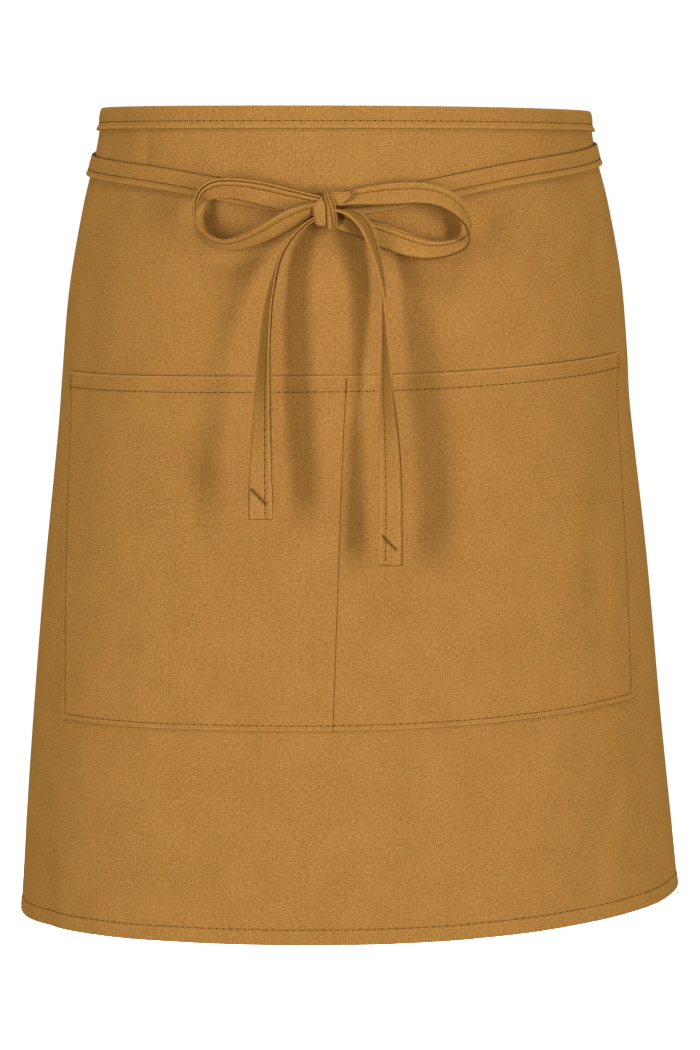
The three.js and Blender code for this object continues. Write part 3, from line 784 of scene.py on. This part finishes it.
# Pocket: a patch sewn down on three sides and along its dividing seam
pocket = {
    "top": 174.5,
    "height": 238.5,
    "mouthWidth": 456,
    "footWidth": 442,
    "footShift": 3,
    "mouthSag": 3,
    "footSag": 1.4,
    "mouthGap": 1.2,
    "mouthHem": 10.5,
    "mouthStitch": 9.9,
    "hemCloth": 0.6,  # added inside the mouth hem
    "hemStep": (0.3, 0.5),  # before and after the hem's end
    "seamTop": 1.5,
    "seamFoot": -8.5,
    "lift": 0.3,  # lowest gap to the panel
    "cloth": 0.9,
    "edgeCloth": 1.3,
    "edgeRun": (4, 9),  # the thicker edges thin out over it
    "mouthRun": (9, 12),
    "edgeStitch": 3.3,
    "sink": 0.4,
    "sinkWide": (1.0, 1.2),  # along the edges and along the mouth
    "seam": {"sink": 0.75, "wide": 1.6, "from": (0, 3), "end": 1.006},
    # Each ripple is followed by the place and the reach where it shows.
    "sidePucker": {
        "height": 0.16, "seed": 23, "waves": (9, 15, 26), "slant": 3, "side": (3, 8), "seam": (0, 7),
    },
    "endPucker": {"height": 0.2, "seed": 29, "waves": (9, 16, 27, 45), "mouth": (9, 7), "foot": (3, 7)},
    "insideLift": 0.1,
    "lineSteps": 400,
    "lineStart": 0.006,
    "mouthReach": 0.995,
    "tack": 13,
    "tackStart": 0.004,
    "tacks": ((-0.997, 0.9), (0, 1.5), (0.997, 0.9)),  # place across and width
    "step": (3.2, 4.2),
}


def pocketPlace(p, u, v):  # u runs -1 to 1 across, v from the mouth to the foot
    sag = (p["mouthSag"] * (1 - v) + p["footSag"] * v) * (1 - u * u)
    half = (p["mouthWidth"] * (1 - v) + p["footWidth"] * v) / 2
    seam = p["seamTop"] * (1 - v) + p["seamFoot"] * v
    arc = seam + np.abs(u) * (np.where(u < 0, -half, half) + p["footShift"] * v - seam)
    return arc, p["top"] + sag + p["height"] * v


def pocketOuter(p, u, v):
    across = p["mouthWidth"] / 2
    fromSide = (1 - np.abs(u)) * across
    fromFoot = (1 - v) * p["height"]
    fromMouth = v * p["height"]
    fromSeam = np.abs(u) * across
    gap = p["lift"] + p["mouthGap"] * np.sin(math.pi * np.abs(u)) * (1 - v) ** 2
    edge = np.minimum(fromSide, fromFoot)
    thicker = np.maximum(1 - ramp(edge, *p["edgeRun"]), 1 - ramp(fromMouth, *p["mouthRun"]))
    thick = p["cloth"] + (p["edgeCloth"] - p["cloth"]) * thicker
    edgeWide, mouthWide = p["sinkWide"]
    line = np.maximum(bump(edge, p["edgeStitch"], edgeWide), bump(fromMouth, p["mouthStitch"], mouthWide))
    seam = p["seam"]["sink"] * bump(fromSeam, 0, p["seam"]["wide"]) * ramp(fromMouth, *p["seam"]["from"])
    side, end = p["sidePucker"], p["endPucker"]
    sideShare = bump(fromSide, *side["side"]) + bump(fromSeam, *side["seam"])
    endShare = bump(fromMouth, *end["mouth"]) + bump(fromFoot, *end["foot"])
    pucker = ripple(fromMouth + side["slant"] * u, side) * sideShare + ripple(u * across, end) * endShare
    drape = panelOuter(panel, *pocketPlace(p, u, v))
    return drape + gap + thick - p["sink"] * line - seam + pucker


def pocketInner(p, u, v):
    before, after = p["hemStep"]
    hem = 1 - ramp(v * p["height"], p["mouthHem"] - before, p["mouthHem"] + after)
    return pocketOuter(p, u, v) - p["cloth"] - p["hemCloth"] * hem


def pocketRun(p, u, v, inside=False):
    out = pocketInner(p, u, v) - p["insideLift"] if inside else pocketOuter(p, u, v) + stitch["lift"]
    return clothRun(*pocketPlace(p, u, v), out, inside)


def makePocket(p):
    across, high = p["mouthWidth"] / 2, p["height"]
    u = stations(-across, across, p["step"][0], (-across, 0, across), reach=6, fine=0.8) / across
    v = stations(0, high, p["step"][1], (0, p["mouthHem"], high), reach=6, fine=0.8) / high
    us, vs = np.meshgrid(u, v)
    arcs, drops = pocketPlace(p, us, vs)
    # the mouth's rim gets a painted highlight
    *walls, worn = clothWall(arcs, drops, pocketOuter(p, us, vs), pocketInner(p, us, vs), paintedHighlightTop=1)
    piece = makePiece("pocket_patch", *walls, twill, worn=worn)
    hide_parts("pocket")
    side = 1 - p["edgeStitch"] / across
    foot = 1 - p["edgeStitch"] / high
    mouth = p["mouthStitch"] / high
    steps = np.linspace(0, 1, p["lineSteps"])
    whole = np.ones(p["lineSteps"])
    down = p["lineStart"] + steps * (foot - p["lineStart"])
    lines = [
        (whole * -side, down),
        (whole * side, down),
        ((2 * steps - 1) * side, whole * foot),
        ((2 * steps - 1) * p["mouthReach"], whole * mouth),
    ]
    runs = [stitchRun(*pocketRun(p, a, b)) for a, b in lines]
    runs.append(stitchRun(*pocketRun(p, *lines[-1], True)))
    runs.append(stitchRun(*pocketRun(p, whole * 0, mouth + steps * (p["seam"]["end"] - mouth)), seamKinds))
    tackDown = p["tackStart"] + steps * p["tack"] / high
    for place, wide in p["tacks"]:
        runs.append(tackRun(*pocketRun(p, whole * place, tackDown), wide))
    thread = makeStitches("pocket_stitches", runs)


makePocket(pocket)
print("pocket made")


# Tapes of the ties and the bow: folded lengthwise, closed by a line of stitches near the open edge
tape = {
    "width": 16,
    "stitchAt": 3.2,  # from the middle, towards the open edge
    "stitchOut": 0.78,
    "step": 2.0,
    "fineSteps": 4000,  # for measuring along the tape
    # the last column is painted light: painted shade at the folded edge and between the lips, painted
    # highlight on the lips
    "halfSection": table("across thick worn", [  # from the folded edge to a lip, then in between the lips
        (-8, 0, -1), (-7.8, 0.45, -1), (-7.2, 0.8, -0.2), (-6, 0.95, 0.2), (-3, 0.95, 0), (0, 0.95, 0),
        (2, 0.9, 0), (2.7, 0.76, 0), (3.2, 0.68, 0), (3.7, 0.78, -0.1), (4.5, 1, -0.1), (5.8, 1.25, 0.1),
        (7, 1.36, 0.6), (7.7, 1.28, 0.5), (8.05, 1, -0.2), (8, 0.7, -0.3), (7.6, 0.42, -0.4),
        (6.5, 0.3, -0.5), (4.5, 0.1, -0.5),
    ]),
    # its last column is painted light in the same way
    "shortLipSection": table("across thick worn", [  # all round, with one lip set back so that the seam shows
        (-7.8, 0.45, -1), (-7.2, 0.8, -0.2), (-6, 0.95, 0.2), (-3, 0.95, 0), (0, 0.95, 0), (2, 0.9, 0),
        (2.7, 0.76, 0), (3.2, 0.68, 0), (3.7, 0.8, -0.1), (4.4, 1.1, -0.1), (5.2, 1.42, 0.6),
        (5.8, 1.42, 0.8), (6.2, 1.1, 0), (6.25, 0.6, -0.4), (5.9, 0.1, -0.5), (5.2, -0.2, -0.5),
        (5.6, -0.55, -0.5), (6.3, -0.7, -0.5), (6.9, -0.45, -0.3), (7.3, 0.1, 0), (7.7, 0.4, 1),
        (8.05, 0.2, 0.8), (8.15, -0.4, -0.4), (8, -1, -0.4), (7.4, -1.3, 0.5), (6.4, -1.3, 0.3),
        (5, -1.15, 0), (4.2, -0.95, -0.1), (3.7, -0.78, 0), (3.2, -0.68, 0), (2.7, -0.76, 0),
        (2, -0.9, 0), (0, -0.95, 0), (-3, -0.95, 0), (-6, -0.95, 0.2), (-7.2, -0.8, -0.2),
        (-7.8, -0.45, -1), (-8, 0, -1),
    ]),
}
tailPaintedLight = {  # on a tail's upper stretch: a painted highlight on the fold, painted shade on the faces
    "run": (165, 100),
    "foldBelow": -0.6,  # rows on the fold have painted light below this
    "fold": 0.7,
    "paintedShade": 0.3,  # share of the painted shade that stays in the crease rows
    # painted shade added on the face
    "face": -0.32,
    "faceHigh": 0.6,
    "faceMiddle": -0.2,
    "faceHalf": 6.3,
}
tailEnd = {  # the last stretch is turned back on itself
    "ease": 0.3,
    "swell": 0.4,
    "grow": 0.05,
    "rounded": 1.0,
    "thin": 0.45,
    "narrow": 0.97,
    # length of painted shade round the folded end's rim
    "paintedShadeRim": 0.5,
}


def tapeSection(t, lips, shortLip):  # outline of the tape and its painted light; shortLip is 0 for even lips
    if shortLip:
        rows = t["shortLipSection"]
        return np.stack([rows["across"] * lips, rows["thick"] * shortLip], 1), rows["worn"]
    across, thick, worn = (np.concatenate([v[1:], v[::-1]]) for v in t["halfSection"].values())
    thick[len(thick) // 2:] *= -1
    return np.stack([across * lips, thick], 1), worn


def along3(knots, values, at):
    return np.stack([smoothAt(knots, values[:, k], at) for k in range(3)], axis=-1)


def unit(vectors):
    return vectors / np.linalg.norm(vectors, axis=1)[:, None]


def paintTailLight(w, loop, worn, lips):  # painted light round the section of a tail's upper stretch
    paintedFold = np.where(worn < w["foldBelow"], w["fold"], np.where(worn < 0, w["paintedShade"] * worn, worn))
    onFace = np.abs(loop[:, 0] * lips - w["faceMiddle"]) < w["faceHalf"]
    return paintedFold + w["face"] * (onFace & (np.abs(loop[:, 1]) > w["faceHigh"]))


def makeTape(name, node, middle, width, lips, shortLip, tuckStart, tuckEnd, foldedEnd=0):
    # Middle and width of the tape at rough stations; lips is the side of the open edge.
    t, e = tape, tailEnd
    knots = np.concatenate([[0], np.cumsum(np.linalg.norm(np.diff(middle, axis=0), axis=1) ** 0.5)])
    evenly = np.linspace(0, knots[-1], t["fineSteps"])
    gone = distances(along3(knots, middle, evenly))
    low, high = tuckStart, gone[-1] - tuckEnd
    turned = high - foldedEnd
    run = stations(low, high, t["step"], (turned, high) if foldedEnd else (), reach=1.2, fine=0.3)
    at = np.interp(run, gone, evenly)
    place = along3(knots, middle, at)
    forwards = unit(np.gradient(place, run, axis=0))
    wide = along3(knots, width, at)
    share = np.linalg.norm(wide, axis=1)
    wide = unit(wide - forwards * np.einsum("ij,ij->i", wide, forwards)[:, None])
    thick = np.cross(forwards, wide)
    swell = np.ones(len(run))
    grow = np.ones(len(run))
    loop, worn = tapeSection(t, lips, shortLip)
    # a tail's upper stretch gets a painted highlight on its fold and painted shade on its face
    upper = ramp(run, *tailPaintedLight["run"])[:, None] * (foldedEnd > 0)
    worn = worn * (1 - upper) + paintTailLight(tailPaintedLight, loop, worn, lips) * upper
    if foldedEnd:
        folded = ramp(run, turned - e["ease"], turned + e["ease"])
        rounded = ramp(run, high, high - e["rounded"])
        swell = (1 + e["swell"] * folded) * (e["thin"] + (1 - e["thin"]) * rounded)
        grow = (1 + e["grow"] * folded) * (e["narrow"] + (1 - e["narrow"]) * rounded)
        # painted shade round the rim of the folded end
        worn[run > high - e["paintedShadeRim"]] = -1
    sections = place[:, None] + wide[:, None] * (loop[None, :, :1] * (share * grow)[:, None, None])
    sections = sections + thick[:, None] * (loop[None, :, 1:] * swell[:, None, None])
    piece = makePiece(name, *loft(sections, distances(loop), run), tapeTwill, worn=worn.ravel())
    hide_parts(node)
    seam = place + wide * (lips * t["stitchAt"] * share)[:, None]
    sunk = t["stitchOut"] * swell
    kinds, plain = (clothKinds, brownThread) if foldedEnd else (tapeKinds, tapeThread)
    runs = [stitchRun(seam + thick * (side * sunk)[:, None], side * thick, kinds) for side in (1, -1)]
    if foldedEnd:
        runs += tailTack(place, wide, thick, swell, run, high)
    thread = makeStitches(name.replace("_tape", "_stitches"), runs, plain)
    (high - low) * mm
    print(name, "length", round(high - low), "mm")


tack = {  # slanting tack over a tail's folded end
    "fromEnd": (20.5, 10.5),
    "across": (-6.2, 4.4),
    "wide": 2.7,
    "out": 1.02,
    "lift": 0.1,
    "steps": 40,
}


def tailTack(place, wide, thick, swell, run, high):  # one on each face
    at = high - np.linspace(*tack["fromEnd"], tack["steps"])
    side = np.linspace(*tack["across"], tack["steps"])
    out = readAlong(thick, run, at)
    middle = readAlong(place, run, at) + readAlong(wide, run, at) * side[:, None]
    rise = out * (tack["out"] * np.interp(at, run, swell) + tack["lift"])[:, None]
    return [tackRun(middle + face * rise, face * out, tack["wide"]) for face in (1, -1)]


tieSet = {"startGap": 0.4, "startDrop": 7.8, "startOut": -0.6, "turns": 260, "tilt": 0.01, "gather": 0.94}
tieOver = table("turn drop out", [
    (162, 8.2, 3.4),
    (180, 15.8, 3.6),
    (198, 23, 3.2),
    (212, 26.4, 2.2),
    (235, 30.5, 1.8),
    (270, 36.6, 1.8),
    (312, 45.4, 1.8),
    (333, 54, 1.8),
    (347, 61.8, 1.8),
    (356, 65.5, 2.2),
])
tieUnder = table("turn drop out", [
    (162, 8.2, 0.3),
    (180, 15.8, 0.6),
    (198, 24, 0.5),
    (212, 27, 1.7),
    (235, 28.8, 1.8),
    (270, 30.3, 1.8),
    (300, 37.8, 1.8),
    (322, 45, 1.8),
    (340, 54.5, 1.8),
    (353, 61.8, 2.2),
    (363, 65.5, 3),
])


def makeTie(name, node, route, side):
    s = tieSet
    start = math.degrees(float(angleOfArc(band["width"] / 2 + s["startGap"], bandTop)))
    first = {"turn": start, "drop": s["startDrop"], "out": s["startOut"]}
    rows = {key: np.concatenate([[first[key]], route[key]]) for key in route}
    turns = np.linspace(start, route["turn"][-1], s["turns"])
    row = rowAt(rows, "turn", turns)
    angle = side * np.radians(turns)
    middle = formPoint(angle, row["drop"], row["out"])
    upper = formPoint(angle, row["drop"] - 0.5, row["out"] - s["tilt"])
    width = upper - formPoint(angle, row["drop"] + 0.5, row["out"] + s["tilt"])
    makeTape(name, node, middle, unit(width) * s["gather"], lips=-1, shortLip=0, tuckStart=0, tuckEnd=1)


makeTie("tie_left_tape", "tie_left", tieOver, 1)
makeTie("tie_right_tape", "tie_right", tieUnder, -1)
print("ties made")


# Bow: each tape's middle as seen from the front, how far it stands off the cloth, the way its width points
bowNames = "x drop out edgeX edgeZ gather"
loopLeft = table(bowNames, [
    (-15, 64.8, 6.5, 0, 0.75, 0.75),
    (-22, 63.8, 8.4, 0, 0.8, 0.9),
    (-37, 61.6, 8.4, 0, 0.93, 1),
    (-56, 57.2, 9, 0, 0.95, 1),
    (-73, 54.1, 11.4, 0, 0.82, 1),
    (-86, 54.6, 14.5, -0.08, 0.76, 1),
    (-95, 59.4, 17, -0.1, 0.5, 1),
    (-99.5, 69, 18.5, 0, 0.15, 1),
    (-97.5, 79.5, 18.5, 0.12, 0.28, 1),
    (-90.5, 86.6, 18, 0.1, 0.38, 1),
    (-80, 90, 17.5, 0, 0.41, 1),
    (-68, 88.4, 17, -0.15, 0.5, 1),
    (-53, 82.4, 16.5, -0.3, 0.62, 1),
    (-37, 74.2, 15.8, -0.36, 0.72, 1),
    (-23, 67.9, 11, -0.2, 0.7, 0.74),
    (-15, 67, 7.5, 0, 0.7, 0.6),
])
loopRight = table(bowNames, [
    (-12, 63.5, 9.5, 0, -0.6, 0.5),
    (-2, 62, 9.6, 0, -0.7, 0.6),
    (6, 60.4, 9.8, 0, -0.7, 0.85),
    (17, 59.2, 10, 0, -0.76, 1),
    (32, 58, 11.5, 0, -0.87, 1),
    (47, 57.6, 14, 0, -0.85, 1),
    (59.5, 59.4, 16, -0.1, -0.8, 1),
    (69.5, 64.2, 18, -0.25, -0.68, 1),
    (76.5, 71, 19, -0.29, -0.48, 1),
    (80, 77.4, 19, -0.22, -0.28, 1),
    (80.6, 84.4, 18.5, -0.08, -0.2, 1),
    (78, 89.2, 18, 0, -0.4, 1),
    (72, 92.4, 17, 0.05, -0.53, 1),
    (62, 94.6, 15, 0, -0.64, 1),
    (50, 94, 12.5, -0.15, -0.8, 1),
    (37.5, 90.2, 10, -0.22, -0.92, 1),
    (24.5, 85.4, 8.5, -0.28, -0.9, 1),
    (12, 80.8, 8.6, -0.2, -0.86, 0.86),
    (0, 76.2, 10.2, -0.1, -0.94, 0.84),
    (-12, 74, 9.8, 0, -0.85, 0.7),
])
tailLeft = table(bowNames, [
    (-13, 72.2, 8.8, 0, 0, 0.6),
    (-21.5, 74.4, 10.4, 0, 0, 0.8),
    (-30.7, 81.8, 13, 0, 0, 1),
    (-37.7, 90, 16, 0.05, 0, 1),
    (-43, 99.8, 19.5, 0.1, 0, 1),
    (-47.3, 115.2, 23.5, 0.22, 0, 1),
    (-50.3, 130.5, 26.5, 0.34, 0, 1),
    (-52.8, 158.2, 31, 0.5, 0, 1),
    (-54.5, 199.5, 37.5, 0.72, 0, 1),
    (-55.4, 239, 42, 0.95, 0, 0.97),
    (-55.4, 267.6, 41.5, 0.995, 0, 0.94),
])
tailRight = table(bowNames, [
    (-12, 68.6, 9.5, 0, 0, 0.6),
    (-4, 68.4, 13, 0, 0, 0.7),
    (2.8, 69.6, 16.5, -0.15, -0.25, 0.85),
    (9.8, 74.6, 19.2, -0.28, -0.3, 1),
    (15, 83.6, 20.6, -0.36, -0.17, 1),
    (20.3, 99.6, 21.5, -0.26, -0.05, 1),
    (23.9, 117, 22.5, -0.12, 0, 1),
    (25.2, 130.8, 23.5, 0.04, 0, 1),
    (26.4, 158.5, 27, 0.26, 0, 1),
    (27.3, 192, 31, 0.55, 0, 1),
    (28.8, 221.7, 34, 0.82, 0, 1),
    (29.6, 256.3, 35, 0.95, 0, 0.98),
    (29.3, 299.8, 35, 0.99, 0, 0.95),
])
bowStrips = {  # node, rows, side of the open edge, side of the short lip, tucks at both ends, folded end
    "bow_loop_left_tape": ("bow_loop_left", loopLeft, 1, -1, 0, 1.5, 0),
    "bow_loop_right_tape": ("bow_loop_right", loopRight, -1, 1, 3.5, 3.5, 0),
    "tail_left_tape": ("tail_left", tailLeft, 1, 0, 3.5, 0, 23),
    "tail_right_tape": ("tail_right", tailRight, -1, 0, 3.5, 0, 23),
}


def makeBow():
    for name, (node, rows, lips, shortLip, tuckStart, tuckEnd, foldedEnd) in bowStrips.items():
        middle = bowPoint(rows["x"], rows["drop"], rows["out"])
        ahead = np.sqrt(1 - rows["edgeX"] ** 2 - rows["edgeZ"] ** 2)
        width = np.stack([rows["edgeX"], -ahead, rows["edgeZ"]], axis=-1) * rows["gather"][:, None]
        makeTape(name, node, middle, width, lips, shortLip, tuckStart, tuckEnd, foldedEnd)


# Knot: the wrap of tape, the lips of its open edge down the right side, and a turn of tape behind it
noLine = 99.0
padNames = "drop left right back face firstLine secondLine"
knotPads = {
    "wrap": table(padNames, [
        (60, -16.6, -8, 5, 12.8, -14.2, noLine),
        (62, -18.6, -7.4, 3.2, 14.6, -13.4, noLine),
        (65.2, -21.6, -6.8, 2.4, 15.8, -12.6, noLine),
        (71, -21, -6.4, 2.2, 16.2, -12.2, noLine),
        (75, -20.6, -6.2, 2.4, 15.9, -12.2, noLine),
        (78, -20.4, -6.4, 3.6, 15, -12.2, noLine),
    ]),
    "lips": table(padNames, [
        (56.8, -13.9, -8.6, 6, 13, -13, -10.8),
        (59, -14.4, -7.8, 4, 16, -12.6, -10),
        (65, -12.7, -6.5, 3, 18, -10.6, -8.1),
        (71, -12.3, -5.6, 3, 18.4, -9.2, -7),
        (76, -12.3, -5.5, 3, 18, -8.6, -6.7),
        (79.6, -12.2, -5.6, 4.5, 16.6, -8.1, -6.6),
    ]),
    "turn": table(padNames, [
        (57.2, -9, 4.6, 8, 12.2, 3.4, noLine),
        (58.4, -10, 5.8, 7.5, 13.6, 4.4, noLine),
        (60.2, -10, 4.4, 7.5, 14.4, 2.9, noLine),
        (62.4, -10, 2, 7.5, 14.4, 0.5, noLine),
        (64.2, -10, 0, 8, 13.8, -1.5, noLine),
    ]),
}
knot = {
    "front": 72,  # points across the front of a section
    "behind": 26,
    "corner": 5,  # 2 is an oval, more is squarer
    "levels": 44,
    "capSteps": 6,
    "capRise": 1.3,
    "capTurn": 0.47,  # of half a turn, so that the cap stays open for its last face
    "capNarrow": 0.1,
    "lineDeep": 2.0,
    "lineWide": 0.5,
    "lineFace": (0.2, 0.6),  # lines fade out towards the sides
    "flatScale": 7,
    "footSlope": 0.2,  # the foot of the wrap runs down to the right
    "footFrom": -12,
}


def padBody(k, rows):  # a rounded body, section by section downwards
    front = np.sin(np.linspace(-1, 1, k["front"]) * math.pi / 2)
    behind = np.sin(np.linspace(1, -1, k["behind"])[1:-1] * math.pi / 2)
    across = np.concatenate([front, behind])
    ahead = (1 - np.abs(across) ** k["corner"]) ** (1 / k["corner"])
    ahead[len(front):] *= -1
    low, high = rows["drop"][0], rows["drop"][-1]
    turn = np.linspace(0, k["capTurn"] * math.pi, k["capSteps"] + 1)[1:]
    cap = k["capRise"] * np.sin(turn)
    drops = np.concatenate([(low - cap)[::-1], np.linspace(low, high, k["levels"]), high + cap])[:, None]
    shrink = np.concatenate([np.cos(turn)[::-1], np.ones(k["levels"]), np.cos(turn)])[:, None]
    row = rowAt(rows, "drop", np.clip(drops, low, high))
    reach = (row["right"] - row["left"]) / 2 * (1 - k["capNarrow"] * (1 - shrink))
    x = (row["left"] + row["right"]) / 2 + across * reach
    lines = bump(x, row["firstLine"], k["lineWide"]) + bump(x, row["secondLine"], k["lineWide"])
    half = (row["face"] - row["back"]) / 2
    sunk = k["lineDeep"] * lines * ramp(ahead, *k["lineFace"]) * shrink
    out = row["face"] - half + ahead * half * shrink - sunk
    tilted = drops + k["footSlope"] * np.minimum(x - k["footFrom"], 0) * ramp(drops, low, high)
    around = distances(np.stack([across, ahead], axis=-1)) * k["flatScale"]
    return loft(bowPoint(x, tilted, out), around, drops[:, 0])


def makeKnot(k):
    points, faces, flat = [], [], []
    for rows in knotPads.values():
        body = padBody(k, rows)
        first = sum(len(part) for part in points)
        points.append(body[0])
        faces += [[first + corner for corner in face] for face in body[1]]
        flat.append(body[2])
    piece = makePiece("knot_wrap", np.concatenate(points), faces, np.concatenate(flat), tapeTwill)
    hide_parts("knot")


makeKnot(knot)
makeBow()
print("bow made")
